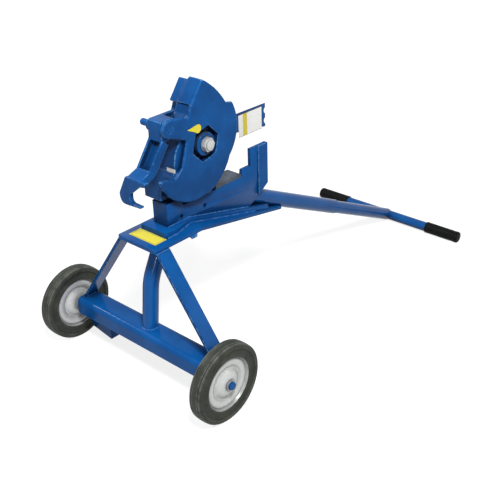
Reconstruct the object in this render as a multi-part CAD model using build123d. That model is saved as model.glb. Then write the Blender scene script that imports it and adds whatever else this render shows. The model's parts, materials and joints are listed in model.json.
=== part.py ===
from build123d import *
from math import atan2, degrees, hypot, sqrt
import os

# Wheeled mechanical conduit bender. Millimetres, Z up, X from the wheels to the tail,
# near side at minus Y. The axle stands at X = 0 while building; export centres the box.

# wheels and axle
wheel_radius = 127.0
tyre_width = 44.45
track = 680.6
rim_seat_radius = 84.0
disc_sheet = 2.0
hub_radius = 15.0
hub_length = 48.0
axle_radius = 7.94
running_clear = 0.05
side_clear = 0.4
washer_thick = 2.5
cap_radius = 12.5
cap_length = 9.0

# base channel
channel_front = -17.0
channel_width = 84.0
channel_rise = 32.0
channel_top = wheel_radius + channel_rise
channel_height = 55.0
channel_wall = 5.0
channel_corner = 17.0
channel_end_gap = 7.4

# feet under the channel, which hold the axle
foot_inset = 11.0
foot_length = 93.0
foot_low = 19.5
foot_heel = 35.0
foot_front = 24.0
foot_block_drop = 19.0
foot_block_low = wheel_radius - foot_block_drop

# braces and centre leg
brace_width = 50.8
brace_thick = 9.5
brace_x = 34.0
brace_inset = 10.5
brace_head_y = 79.0
leg_radius = 25.4
leg_wall = 4.0
leg_foot_x = 29.0
leg_head_x = 116.0
leg_knee_x = 48.0
leg_knee_z = 318.0
leg_bend = 170.0

# top plate with its sloping tongue, and the body base on it
plate_front = 4.0
plate_half = 82.0
plate_top = 464.0
plate_thick = 12.0
bend_x = 195.0
tongue_slope = 0.256
tongue_end = 645.0
tongue_half = 28.0
base_front = 74.0
base_half = 55.0
base_thick = 18.0
base_end = 560.0
neck_run = 46.0

# body side plates
body_front = 107.0
body_half = 30.0
side_thick = 12.0
body_rise = 66.0
body_top = plate_top + body_rise
block_rise = 26.0
front_block_top = body_top + block_rise
front_block_length = 46.0
seat_thick = 11.0
seat_top = body_top + seat_thick
seat_front = 318.0
cheek_left = 437.0
step_rise = 24.0
cheek_step = body_top + step_rise
cheek_post = 481.0
cheek_rise = 81.0
cheek_top = body_top + cheek_rise
cheek_right = 562.0
heel_lift = 5.0
cheek_heel = plate_top + heel_lift
cheek_toe = 473.0
hole_radius = 7.0
hole_first = 166.0
hole_pitch = 99.0
hole_rise = 31.0
hole_height = plate_top + hole_rise
strip_width = 46.0
strip_thick = 4.0

# main shaft and its upright
shaft_x = 261.0
shaft_rise = 175.0
shaft_z = body_top + shaft_rise
shaft_radius = 22.0
upright_near = 58.0
upright_thick = 15.0
upright_head = 58.0
nut_flat = 57.0

# shoe casting: points are (x, z) from the shaft
shoe_half = 53.0
flange_thick = 9.0
lower_radius = 155.0
lower_x = -43.0
lower_z = -12.0
right_radius = 138.0
right_x = 1.0
right_z = 26.0
step_x = 118.0
step_z = 97.0
horn_radius = 280.0
horn_arc_x = -145.0
horn_arc_z = -45.0
horn_foot_x = -51.0
horn_foot_z = 131.0
horn_tip_x = 0.5
horn_tip_z = 200.0
horn_under_x = -24.0
horn_under_z = 114.0
horn_heel_x = 95.0
horn_heel_z = 102.0
horn_near_end = 0.0
horn_step_end = 12.0
horn_far_end = 44.0
horn_set_back = 8.0
neck_far = 12.0
neck_recess = 6.0
neck_x = -61.0
neck_z = 103.0
notch_x = -88.0
notch_z = 70.0
waist_x = -76.0
waist_z = 29.0
edge_x = -98.0
edge_z = -44.0
ledge_x = -129.0
ledge_z = -71.0
ledge_tip_x = -180.0
ledge_tip_z = -58.0
sector_end = 26.0
groove_wall = 4.0
conduit_size = 26.67
conduit_bend = 114.3
groove_clear = 0.5
nose_reach = 161.0
nose_x = shaft_x - nose_reach
nose_drop = 140.0
nose_low = shaft_z - nose_drop
nose_front_drop = 93.0
nose_front_top = shaft_z - nose_front_drop
nose_back = 125.0
nose_back_x = shaft_x - nose_back
nose_top_drop = 55.0
nose_top = shaft_z - nose_top_drop
tab_thick = 4.0
tab_height = 11.0
core_near = -37.0
core_step = 20.0
core_ease = 8.0
web_rise = 34.0
web_run = 12.0
web_root = 5.0
hub_outer = 66.0
hex_flat = 96.0
hex_depth = 27.0
bush_wall = 4.0

# hook on its pin
pivot_reach = 137.0
pivot_x = shaft_x - pivot_reach
pivot_rise = 84.0
pivot_z = shaft_z + pivot_rise
pivot_radius = 10.5
pin_end = 66.0
ear_radius = 29.0
ear_thick = 12.0
far_ear_radius = 19.0
far_ear_thick = 14.0
ear_gap = 0.6
knuckle_ahead = 24.0
knuckle_front = pivot_x - knuckle_ahead
knuckle_depth = 29.0
knuckle_back = pivot_x + knuckle_depth
knuckle_drop = 37.0
knuckle_low = pivot_z - knuckle_drop
knuckle_rise = 25.0
knuckle_top = pivot_z + knuckle_rise
knuckle_far = 15.0
arm_reach = 79.0
arm_front_x = pivot_x - arm_reach
arm_drop = 105.0
arm_front_z = pivot_z - arm_drop
arm_thick = 30.0
arm_near = -43.0
pocket_depth = 20.0
rib = 8.0
hook_reach = 118.0
hook_front = pivot_x - hook_reach
hook_depth = 16.0
hook_drop = 212.0
lip_low = pivot_z - hook_drop
lip_thick = 13.0
lip_near = -35.0
jaw_far = 54.0
jaw_near = -60.0
jaw_drop = 121.0
jaw_top = pivot_z - jaw_drop
throat_far = 9.0
throat_radius = 13.0

# tail and T-bar
tail_radius = 27.0
stem_radius = 24.15
stem_wall = 3.7
tail_front = 455.0
tail_aim_x = 427.0
tail_aim_lift = 6.0
tail_aim_z = plate_top + tail_aim_lift
sleeve_end = 985.0
t_bar_x = 1371.0
t_bar_radius = 19.0
t_bar_half = 335.0
grip_radius = 22.6
grip_length = 146.0
grip_end = 341.0

# small plates
label_thick = 1.2
chart_thick = 2.0

track_half = track / 2
channel_back = channel_front + channel_width
hub_outer_end = track_half + hub_length / 2 + side_clear
hub_inner_end = track_half - hub_length / 2 - side_clear
channel_half = hub_inner_end - washer_thick - channel_end_gap
brace_foot_y = channel_half - brace_inset
foot_outer = channel_half - foot_inset
foot_inner = foot_outer - foot_length
channel_mid = (channel_front + channel_back) / 2
plate_low = plate_top - plate_thick
base_top = plate_top + base_thick
tail_slope = (tail_aim_z - grip_radius) / (t_bar_x - tail_aim_x)
mid_x = (t_bar_x + grip_radius - wheel_radius) / 2
bush_outer = shaft_radius + running_clear + bush_wall


def tongue_drop(x):
    return tongue_slope * max(0.0, x - bend_x)


def tail_z(x):
    return grip_radius + tail_slope * (t_bar_x - x)


def outline(points):
    """Closed face through points given as (x, z) in the upright plane."""
    return make_face(Polyline(*points, close=True))


def slab(face, near, far):
    """Push a face drawn as (x, z) from Y near to Y far."""
    return extrude(Plane.XZ.offset(-near) * face, far - near, dir=(0, 1, 0))


def plate(points, near, far):
    return slab(outline(points), near, far)


def disc(x, z, radius, near, far):
    return slab(Pos(x, z) * Circle(radius), near, far)


def across(face, front, back):
    """Push a face drawn as (y, z) from X front to X back."""
    return extrude(Plane.YZ.offset(front) * face, back - front, dir=(1, 0, 0))


def cross(points, front, back):
    """Push a polygon of (y, z) points from X front to X back."""
    return across(outline(points), front, back)


def turned(face, y):
    """Revolve a face of (radius, offset) about the Y direction at Y = y."""
    return Pos(0, y, 0) * Rot(-90, 0, 0) * revolve(Plane.XZ * face, Axis.Z)


def ring(inner, outer, near, far):
    return slab(Circle(outer) - Circle(inner), near, far)


def both_sides(shape):
    return Compound(children=[shape, mirror(shape, Plane.XZ)])


def hexagon(flat):
    return RegularPolygon(flat / sqrt(3), 6, major_radius=True)


def save(name, shape):
    """Write one node, with the middle of the box at the origin."""
    solids = shape.solids()
    if len(solids) == 1:
        shape = solids[0]
    else:
        shape = Compound(children=list(solids))
    export_step(Pos(-mid_x, 0, 0) * shape, "parts/" + name + ".step")


os.makedirs("parts", exist_ok=True)

# wheels: a solid rubber tyre on two pressed steel discs and a plain hub sleeve
shoulder = 11.0
wall_groove = 1.8
dish_boss = 22.0
dish_web = 9.0
dish_bead = 18.0
dome_radius = 52.0
ring_rise = 3.5
ring_edge = 4.0
tyre_face = Pos((wheel_radius + rim_seat_radius) / 2, 0) * RectangleRounded(
    wheel_radius - rim_seat_radius, tyre_width, shoulder)
for side in (-1, 1):
    tyre_face -= Pos(wheel_radius - 1.25 * shoulder, side * tyre_width / 2) * Circle(wall_groove)
dome_rise = 0.72 * (dish_boss - dish_web)
dish_line = ThreePointArc(
    (hub_radius, dish_boss), ((hub_radius + dome_radius) / 2, dish_web + dome_rise), (dome_radius, dish_web))
dish_line += Polyline(
    (dome_radius, dish_web),
    (dome_radius + ring_edge, dish_web + ring_rise),
    (rim_seat_radius - 2 * ring_edge, dish_web + ring_rise),
    (rim_seat_radius - ring_edge, dish_web),
    (rim_seat_radius, dish_bead))
dish_ends = [
    Line((hub_radius, dish_boss - disc_sheet), (hub_radius, dish_boss)),
    Line((rim_seat_radius, dish_bead - disc_sheet), (rim_seat_radius, dish_bead)),
]
disc_face = make_face(dish_line + Pos(0, -disc_sheet) * dish_line + dish_ends)
disc_face += Pos(rim_seat_radius - disc_sheet / 2, dish_bead / 2) * Rectangle(disc_sheet, dish_bead)
tyre = Pos(0, 0, wheel_radius) * turned(tyre_face, 0)
outer_disc = Pos(0, 0, wheel_radius) * turned(disc_face, 0)
inner_disc = mirror(outer_disc, Plane.XZ)
hub = Pos(0, 0, wheel_radius) * ring(axle_radius + running_clear, hub_radius, -hub_length / 2, hub_length / 2)
for side, name in ((-1, "near"), (1, "far")):
    seat = Pos(0, side * track_half, 0)
    save(name + "_tyre", seat * tyre)
    save(name + "_wheel_hub", seat * hub)
    save(name + "_disc_outer", seat * (outer_disc if side > 0 else inner_disc))
    save(name + "_disc_inner", seat * (inner_disc if side > 0 else outer_disc))

# axle with its washers and push-on caps
washer_radius = hub_radius + 2
axle_end = hub_outer_end + washer_thick + cap_length - 3
save("axle", disc(0, wheel_radius, axle_radius, -axle_end, axle_end))
washer = Pos(0, 0, wheel_radius) * ring(axle_radius, washer_radius, 0, washer_thick)
washers = [Pos(0, hub_outer_end, 0) * washer, Pos(0, hub_inner_end - washer_thick, 0) * washer]
save("axle_washers", both_sides(Compound(children=washers)))
cap = disc(0, wheel_radius, cap_radius, 0, cap_length)
cap = fillet(cap.edges().sort_by(Axis.Y)[-1], 4)
cap -= disc(0, wheel_radius, axle_radius, -1, cap_length - 3)
save("axle_caps", both_sides(Pos(0, hub_outer_end + washer_thick, 0) * cap))

# base channel, web upwards, with rounded outer corners
channel_outer = Rectangle(channel_width, channel_height)
channel_outer = fillet(channel_outer.vertices().group_by(Axis.Y)[-1], channel_corner)
channel_inner = Rectangle(channel_width - 2 * channel_wall, channel_height)
channel_inner = fillet(channel_inner.vertices().group_by(Axis.Y)[-1], channel_corner - channel_wall)
channel_face = channel_outer - Pos(0, -channel_wall) * channel_inner
channel = slab(Pos(channel_mid, channel_top - channel_height / 2) * channel_face, -channel_half, channel_half)
save("base_channel", channel)

# feet: a block inside the channel, bored for the axle, with a tapered toe that reaches down
foot_top = channel_top - channel_corner
block_front = channel_front + channel_wall
foot_back = channel_back - channel_wall
foot_block = cross(
    [(foot_inner, foot_top), (foot_outer, foot_top), (foot_outer, foot_block_low), (foot_inner, foot_block_low)],
    block_front, foot_back)
foot_toe = cross(
    [(foot_inner, foot_top), (foot_outer, foot_top), (foot_outer, foot_heel), (foot_inner, foot_low)],
    foot_front, foot_back)
foot = foot_block + foot_toe - disc(0, wheel_radius, axle_radius, foot_inner - 1, foot_outer + 1)
save("axle_feet", both_sides(foot))

# flat bar braces from the channel ends up to the top plate
brace_rise = plate_low - channel_top
brace_run = brace_foot_y - brace_head_y
brace_cut = brace_thick * hypot(brace_rise, brace_run) / brace_rise / 2
brace_points = [
    (brace_foot_y - brace_cut, channel_top),
    (brace_foot_y + brace_cut, channel_top),
    (brace_head_y + brace_cut, plate_low),
    (brace_head_y - brace_cut, plate_low),
]
far_brace = cross(brace_points, brace_x - brace_width / 2, brace_x + brace_width / 2)
save("far_brace", far_brace)
save("near_brace", mirror(far_brace, Plane.XZ))

# centre leg: one bent tube, cut flat at the channel and at the plate
lower_lean = (leg_knee_x - leg_foot_x) / (leg_knee_z - channel_top)
upper_lean = (leg_head_x - leg_knee_x) / (plate_low - leg_knee_z)
overrun = 2 * leg_radius
leg_path = Plane.XZ * FilletPolyline(
    (leg_foot_x - overrun * lower_lean, channel_top - overrun),
    (leg_knee_x, leg_knee_z),
    (leg_head_x + overrun * upper_lean, plate_low + overrun),
    radius=leg_bend)
leg_ring = Circle(leg_radius) - Circle(leg_radius - leg_wall)
leg = sweep(Plane(leg_path @ 0, z_dir=leg_path % 0) * leg_ring, leg_path)
leg_span = 2 * (leg_head_x + overrun)
leg_room = Pos(0, 0, (channel_top + plate_low) / 2) * Box(leg_span, leg_span, plate_low - channel_top)
save("centre_leg", leg & leg_room)

# tail tube and stem, sloping down to the T-bar
run_scale = hypot(1, tail_slope)


def along_tail(face, start, end):
    """Push a face along the tail axis between two X stations."""
    begin = Plane((start, 0, tail_z(start)), z_dir=(1, 0, -tail_slope))
    return extrude(begin * face, (end - start) * run_scale)


stem_overlap = 130.0
tail_void = along_tail(Circle(tail_radius), tail_front, sleeve_end)
tail_sleeve = along_tail(Circle(tail_radius) - Circle(stem_radius), tail_front, sleeve_end)
t_bar_void = disc(t_bar_x, grip_radius, t_bar_radius, -t_bar_half, t_bar_half)
stem_face = Circle(stem_radius) - Circle(stem_radius - stem_wall)
tail_stem = along_tail(stem_face, sleeve_end - stem_overlap, t_bar_x) - t_bar_void
tail_stem = tail_stem.solids().sort_by(SortBy.VOLUME)[-1]
save("tail_sleeve", tail_sleeve)
save("tail_stem", tail_stem)
t_bar = Pos(t_bar_x, 0, grip_radius) * ring(t_bar_radius - 3, t_bar_radius, -t_bar_half, t_bar_half)
save("t_bar", t_bar)
grip = disc(t_bar_x, grip_radius, grip_radius, grip_end - grip_length, grip_end)
grip = fillet(grip.edges().group_by(Axis.Y)[-1], 4)
grip -= disc(t_bar_x, grip_radius, t_bar_radius, 0, t_bar_half)
save("far_grip", grip)
save("near_grip", mirror(grip, Plane.XZ))

# top plate: flat in front, then a tongue that tapers and slopes down to the tail
plate_line = [(plate_front, plate_top), (bend_x, plate_top), (tongue_end, plate_top - tongue_drop(tongue_end))]
plate_under = [(x, z - plate_thick) for x, z in reversed(plate_line)]
plate_plan = make_face(Polyline(
    (plate_front, -plate_half), (bend_x, -plate_half), (tongue_end, -tongue_half),
    (tongue_end, tongue_half), (bend_x, plate_half), (plate_front, plate_half), close=True))
plate_plan = fillet(plate_plan.vertices().group_by(Axis.X)[0], 8)
plate_plan = fillet(plate_plan.vertices().group_by(Axis.X)[-1], 14)
top_plate = plate(plate_line + plate_under, -plate_half, plate_half) & extrude(plate_plan, plate_top + 1)
save("top_plate", top_plate - tail_void)

# body base, a thicker plate on the top plate with the same bend
base_neck = base_front + neck_run
base_line = [(base_front, base_top), (bend_x, base_top), (base_end, base_top - tongue_drop(base_end))]
base_under = [(x, z - base_thick) for x, z in reversed(base_line)]
neck_half = body_half + 5
base_plan = make_face(Polyline(
    (base_front, -base_half), (base_neck, -base_half), (bend_x, -neck_half), (base_end, -neck_half),
    (base_end, neck_half), (bend_x, neck_half), (base_neck, base_half), (base_front, base_half), close=True))
base_plan = fillet(base_plan.vertices().group_by(Axis.X)[0], 6)
body_base = plate(base_line + base_under, -base_half, base_half) & extrude(base_plan, base_top + 1)
save("body_base", body_base - tail_void)

# side plates of the body; the near one rises into the stepped cheek
block_end = body_front + front_block_length
side_low = [
    (cheek_toe, base_top - tongue_drop(cheek_toe)),
    (bend_x, base_top),
    (body_front, base_top),
    (body_front, front_block_top),
    (block_end, front_block_top),
    (block_end + front_block_top - body_top, body_top),
]
near_rear = [
    (cheek_left, body_top),
    (cheek_left + 3, cheek_step),
    (cheek_post, cheek_step),
    (cheek_post, cheek_top),
    (cheek_right, cheek_top),
    (cheek_right, cheek_heel),
]
far_rear = [(cheek_left, body_top), (cheek_post, cheek_heel)]
near_side = plate(side_low + near_rear, -body_half, side_thick - body_half)
far_side = plate(side_low + far_rear, body_half - side_thick, body_half)
hole_face = Pos(hole_first, hole_height) * Circle(hole_radius)
hole_face += Pos(hole_first + hole_pitch, hole_height) * Circle(hole_radius)
side_holes = slab(hole_face, -body_half - 1, body_half + 1)
save("near_side_plate", near_side - side_holes - tail_void)
save("far_side_plate", far_side - side_holes - tail_void)
inner_half = body_half - side_thick
save("front_block", plate(
    [(body_front, base_top), (block_end, base_top),
     (block_end, front_block_top), (body_front, front_block_top)],
    -inner_half, inner_half))
seat_back = cheek_left - 2
save("conduit_seat", plate(
    [(seat_front, body_top), (seat_back, body_top), (seat_back, seat_top), (seat_front, seat_top)],
    -body_half, body_half))
strip_left = cheek_right - strip_width
heel_rise = cheek_heel - base_top + tongue_drop(cheek_toe)
strip_low = cheek_heel - heel_rise * strip_width / (cheek_right - cheek_toe)
save("cheek_strip", plate(
    [(strip_left, strip_low), (cheek_right, cheek_heel), (cheek_right, cheek_top), (strip_left, cheek_top)],
    -body_half - strip_thick, -body_half))

# small lug under the near edge of the plate
lug_x = 165.0
lug_size = 12.0
save("edge_lug", cross(
    [(-plate_half, plate_low), (-plate_half + lug_size, plate_low),
     (-plate_half + lug_size, plate_low - 7), (-plate_half, plate_low - lug_size)],
    lug_x - lug_size, lug_x + lug_size))

# upright behind the shoe that carries the main shaft
upright_far = upright_near + upright_thick
upright_left = 150.0
upright_right = 300.0
upright = plate(
    [(upright_left, plate_top), (bend_x, plate_top), (upright_right, plate_top - tongue_drop(upright_right)),
     (shaft_x + upright_head, shaft_z), (shaft_x - upright_head, shaft_z)],
    upright_near, upright_far)
upright += disc(shaft_x, shaft_z, upright_head, upright_near, upright_far)
save("shaft_upright", upright - disc(shaft_x, shaft_z, shaft_radius, upright_near - 1, upright_far + 1))
spacer_rise = 13.0
spacer_offset = 30.0
spacer_length = 52.0
spacer_low = base_top + spacer_rise
spacer_left = hole_first + spacer_offset
spacer_right = spacer_left + spacer_length
save("upright_spacer", plate(
    [(spacer_left, spacer_low), (spacer_right, spacer_low), (spacer_right, body_top), (spacer_left, body_top)],
    body_half, upright_near))

# main shaft, its far nut, the thrust washer, the near retaining cap and its bolt
hub_near = hex_depth - shoe_half
shaft_near = hub_near - side_clear
cap_thick = 28.0
cap_plate_radius = 36.0
bolt_flat = 38.1
bolt_head = 19.0
nut_thick = 22.0
shaft_far = upright_far + nut_thick + 6
shaft = disc(shaft_x, shaft_z, shaft_radius, shaft_near, shaft_far)
shaft = chamfer(shaft.edges().group_by(Axis.Y)[-1], 3)
save("main_shaft", shaft)
nut_face = hexagon(nut_flat) - Circle(shaft_radius)
save("shaft_nut", slab(Pos(shaft_x, shaft_z) * nut_face, upright_far, upright_far + nut_thick))
thrust_face = Circle(hub_outer - 14) - Circle(shaft_radius)
save("thrust_washer", slab(Pos(shaft_x, shaft_z) * thrust_face, shoe_half + side_clear, upright_near))
shaft_cap = disc(shaft_x, shaft_z, cap_plate_radius, shaft_near - cap_thick, shaft_near)
save("shaft_cap", fillet(shaft_cap.edges().group_by(Axis.Y)[0], 3))
bolt_near = shaft_near - cap_thick
bolt = slab(Pos(shaft_x, shaft_z) * hexagon(bolt_flat), bolt_near - bolt_head + 4, bolt_near - 3)
bolt += disc(shaft_x, shaft_z, bolt_flat / 2 + 3, bolt_near - 3, bolt_near)
bolt += disc(shaft_x, shaft_z, bolt_flat / 2 - 4, bolt_near - bolt_head, bolt_near - bolt_head + 4)
save("shaft_bolt", bolt)

# shoe rim: one round groove beside the flange, turned about the shaft
def from_shaft(*points):
    """Points given from the shaft, as points of the machine."""
    return [(shaft_x + x, shaft_z + z) for x, z in points]


def shaft_disc(x, z, radius):
    return Pos(shaft_x + x, shaft_z + z) * Circle(radius)


flange_near = -shoe_half
flange_far = flange_near + flange_thick
groove_radius = conduit_size / 2 + groove_clear
groove_mid = flange_far + groove_radius
wall_far = groove_mid + groove_radius + groove_wall
hub_floor = hub_outer - 8
rim_face = Pos((hub_floor + conduit_bend) / 2, (flange_near + horn_far_end) / 2) * Rectangle(
    conduit_bend - hub_floor, horn_far_end - flange_near)
rim_face -= Pos(conduit_bend, groove_mid) * Circle(groove_radius)
quarter = Plane((shaft_x, 0, shaft_z), x_dir=(0, 0, -1), z_dir=(-1, 0, 0))
rim = revolve(quarter * rim_face, Axis((shaft_x, 0, shaft_z), (0, -1, 0)), 90 + sector_end)

# nose in front of the rim, with the same groove run straight through it
groove_z = shaft_z - conduit_bend
nose = plate(
    [(nose_x, nose_low), (shaft_x, nose_low), (shaft_x, shaft_z - hub_floor),
     (nose_back_x + flange_thick, nose_top), (nose_back_x, nose_top), (nose_x, nose_front_top)],
    flange_far, shoe_half)
nose -= across(Pos(groove_mid, groove_z) * Circle(groove_radius), nose_x - 1, shaft_x)
nose -= cross(
    [(groove_mid - groove_radius, groove_z), (groove_mid + groove_radius, groove_z),
     (groove_mid + groove_radius, nose_low - 1), (groove_mid - groove_radius, nose_low - 1)],
    nose_x - 1, shaft_x)

# near flange: two discs and the horn, cut back on the hook side
horn_back = 2 * horn_radius
hook_side = outline(from_shaft(
    (horn_foot_x, horn_foot_z), (neck_x, neck_z), (notch_x, notch_z), (waist_x, waist_z), (edge_x, edge_z),
    (ledge_x, ledge_z), (ledge_tip_x, ledge_tip_z), (-horn_back, ledge_tip_z), (-horn_back, horn_back),
    (horn_tip_x, horn_back), (horn_tip_x, horn_tip_z)))
horn_face = outline(from_shaft(
    (horn_foot_x, horn_foot_z), (horn_tip_x, horn_tip_z), (horn_heel_x, horn_tip_z),
    (horn_heel_x, horn_heel_z), (0, 0)))
horn_face &= shaft_disc(horn_arc_x, horn_arc_z, horn_radius)
right_side = outline(from_shaft(
    (0, 0), (horn_heel_x, horn_heel_z), (step_x, step_z), (right_x + 2 * right_radius, step_z),
    (right_x + 2 * right_radius, -right_radius), (0, -right_radius)))
flange_face = shaft_disc(lower_x, lower_z, lower_radius) - hook_side
flange_face += shaft_disc(right_x, right_z, right_radius) & right_side
flange_face += horn_face
flange = slab(flange_face, flange_near, flange_far)

# horn behind the flange: a proud near part, a slanted step and a lower far part
horn_body = outline(from_shaft(
    (horn_foot_x, horn_foot_z), (horn_tip_x, horn_tip_z), (horn_heel_x, horn_tip_z),
    (horn_heel_x, horn_heel_z), (0, hub_floor), (horn_under_x, horn_under_z)))
horn_inner = shaft_disc(horn_arc_x, horn_arc_z, horn_radius - horn_set_back)
horn_body &= shaft_disc(horn_arc_x, horn_arc_z, horn_radius)
horn_length = hypot(horn_tip_x - horn_foot_x, horn_tip_z - horn_foot_z)
along_x = (horn_tip_x - horn_foot_x) / horn_length
along_z = (horn_tip_z - horn_foot_z) / horn_length
set_back = Pos(horn_set_back * along_z, -horn_set_back * along_x)
horn_far = (set_back * horn_body) & horn_inner
horn = slab(horn_body, flange_near, horn_near_end)
horn += loft([
    Plane.XZ.offset(-horn_near_end) * (horn_body & horn_inner),
    Plane.XZ.offset(-horn_step_end) * horn_far,
])
horn += slab(horn_far, horn_step_end, horn_far_end)

# core that ties hub, nose and horn together, and the ears that hold the hook's pin
ear_x = pivot_x - shaft_x
ear_z = pivot_z - shaft_z
knuckle_reach = max(
    hypot(knuckle_back - pivot_x, knuckle_top - pivot_z),
    hypot(knuckle_back - rib - pivot_x, knuckle_low - pivot_z))
room_radius = knuckle_reach + 2
core_front = ear_x + room_radius + 2
core = plate(
    from_shaft(
        (nose_back_x + tab_thick - shaft_x, nose_top - shaft_z - flange_thick),
        (nose_back_x + tab_thick - shaft_x, nose_top - shaft_z),
        (core_front - core_step, 0), (core_front, waist_z), (core_front, notch_z - core_ease),
        (horn_foot_x + core_ease, notch_z + core_ease), (horn_under_x - core_ease, horn_under_z - core_step),
        (horn_under_x, horn_under_z), (0, horn_under_z),
        (hub_outer, 0), (0, -hub_outer)),
    core_near, shoe_half)
neck = plate(
    from_shaft(
        (horn_foot_x + neck_recess, horn_foot_z), (neck_x + neck_recess, neck_z), (notch_x, notch_z),
        (waist_x, waist_z), (0, 0), (0, horn_foot_z)),
    flange_near, neck_far)
web_face = outline(from_shaft(
    (ear_x, ear_z - ear_radius), (ear_x, ear_z + ear_radius), (notch_x + web_run, notch_z + web_rise),
    (horn_foot_x, notch_z + web_run), (horn_foot_x, waist_z), (waist_x - web_root, waist_z + web_root)))
ear = slab(web_face + Pos(pivot_x, pivot_z) * Circle(ear_radius), flange_near, flange_near + ear_thick)
far_ear_near = knuckle_far + ear_gap
far_ear_face = outline(from_shaft(
    (ear_x, ear_z - far_ear_radius), (ear_x, ear_z + far_ear_radius),
    (horn_foot_x + core_ease, ear_z + far_ear_radius), (horn_foot_x + core_ease, ear_z - far_ear_radius)))
far_ear_face += Pos(pivot_x, pivot_z) * Circle(far_ear_radius)
far_ear = slab(far_ear_face, far_ear_near, far_ear_near + far_ear_thick)
knuckle_near = flange_near + ear_thick + ear_gap
knuckle_room = disc(pivot_x, pivot_z, room_radius, knuckle_near - ear_gap, far_ear_near)
hub_body = disc(shaft_x, shaft_z, hub_outer, flange_near, shoe_half)
shoe = core + hub_body + rim + nose + flange + horn + neck - knuckle_room + ear + far_ear
shoe -= slab(Pos(shaft_x, shaft_z) * Rot(0, 0, 15) * hexagon(hex_flat), flange_near - 1, hub_near)
shoe -= disc(shaft_x, shaft_z, bush_outer, flange_near - 1, shoe_half + 1)
shoe -= disc(pivot_x, pivot_z, pivot_radius, flange_near - 1, shoe_half + 1)
save("bending_shoe", shoe)

# bronze bushes pressed into the hub
bush_length = 28.0
bush_face = Pos(shaft_x, shaft_z) * (Circle(bush_outer) - Circle(shaft_radius + running_clear))
bushes = [
    slab(bush_face, hub_near, hub_near + bush_length),
    slab(bush_face, shoe_half - bush_length, shoe_half),
]
save("shoe_bushes", Compound(children=bushes))

# hook pin, flush with the near ear, with a round far end
hook_pin = disc(pivot_x, pivot_z, pivot_radius, flange_near, pin_end)
save("hook_pin", fillet(hook_pin.edges().group_by(Axis.Y)[-1], 0.7 * pivot_radius))

# hook: knuckle block, ribbed arm and a jaw open towards the near side
hook_back = hook_front + hook_depth
arm_run = knuckle_front - arm_front_x
arm_rise = knuckle_low + rib - arm_front_z
arm_length = hypot(arm_run, arm_rise)
behind_x = arm_thick * arm_rise / arm_length
behind_z = -arm_thick * arm_run / arm_length
arm_face = outline([
    (knuckle_front, knuckle_low + rib),
    (arm_front_x, arm_front_z),
    (hook_back, arm_front_z - rib),
    (hook_front, jaw_top),
    (hook_front, jaw_top - 2 * rib),
    (hook_back, jaw_top - 3 * rib),
    (arm_front_x + behind_x, arm_front_z + behind_z),
    (knuckle_front + behind_x, knuckle_low + rib + behind_z),
])
knuckle = plate(
    [(knuckle_front, knuckle_low), (knuckle_back - rib, knuckle_low), (knuckle_back, knuckle_low + 2 * rib),
     (knuckle_back, knuckle_top), (knuckle_front, knuckle_top)],
    knuckle_near, knuckle_far)
jaw_points = [
    (jaw_near, jaw_top),
    (jaw_near, jaw_top - rib),
    (throat_far - 4 * throat_radius, jaw_top - 1.5 * rib),
    (throat_far, lip_low + lip_thick + 1.9 * throat_radius),
    (throat_far, lip_low + lip_thick),
    (lip_near + rib, lip_low + lip_thick - 2),
    (lip_near, lip_low + lip_thick),
    (lip_near, lip_low + 5),
    (jaw_far - 12, lip_low),
    (jaw_far, lip_low + 16),
    (jaw_far, lip_low + 34),
    (knuckle_far + rib, jaw_top),
]
jaw_face = outline(jaw_points)
throat_corners = jaw_face.vertices().filter_by(lambda v: abs(v.X - throat_far) < 0.01)
jaw_face = fillet(throat_corners, 0.8 * throat_radius)
hook = knuckle + slab(arm_face, arm_near, knuckle_far) + across(jaw_face, hook_front, hook_back)
pocket_turn = degrees(atan2(arm_run, arm_rise))
pocket_x = (knuckle_front + arm_front_x) / 2
pocket_z = (knuckle_low + rib + arm_front_z) / 2
pocket_place = Pos(pocket_x, pocket_z) * Rot(0, 0, -pocket_turn)
pocket = slab(pocket_place * Rectangle(2 * pocket_depth, arm_length - rib), arm_near + rib, knuckle_far - rib)
hook -= pocket - knuckle
hook -= disc(pivot_x, pivot_z, pivot_radius + running_clear, arm_near - 1, knuckle_far + 1)
save("conduit_hook", hook)

# bright index bar on the nose, behind the flange
tab = plate(
    [(nose_back_x, nose_top), (nose_back_x + tab_thick, nose_top),
     (nose_back_x + tab_thick, nose_top + tab_height), (nose_back_x, nose_top + tab_height)],
    flange_far, wall_far)
save("index_tab", tab)

# yellow marker by the hexagon: a plain drop that points forward
marker_radius = 13.0
marker_x = -30.0
marker_z = 56.0
marker_face = shaft_disc(marker_x, marker_z, marker_radius)
marker_face += outline(from_shaft(
    (marker_x, marker_z + marker_radius), (marker_x - 3.2 * marker_radius, marker_z + 0.5 * marker_radius),
    (marker_x, marker_z - marker_radius)))
save("shoe_marker", slab(marker_face, flange_near - label_thick, flange_near))

# bare label on the top plate
label_inset = 24.0
label_front = plate_front + label_inset
label_length = 54.0
label_half = 57.0
label_place = Pos(label_front + label_length / 2, 0, plate_top + label_thick / 2)
label = label_place * Box(label_length, 2 * label_half, label_thick)
label &= Pos(base_front / 2, 0, plate_top) * Box(base_front - 1, 4 * label_half, 4 * label_thick)
save("plate_label", label)

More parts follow.
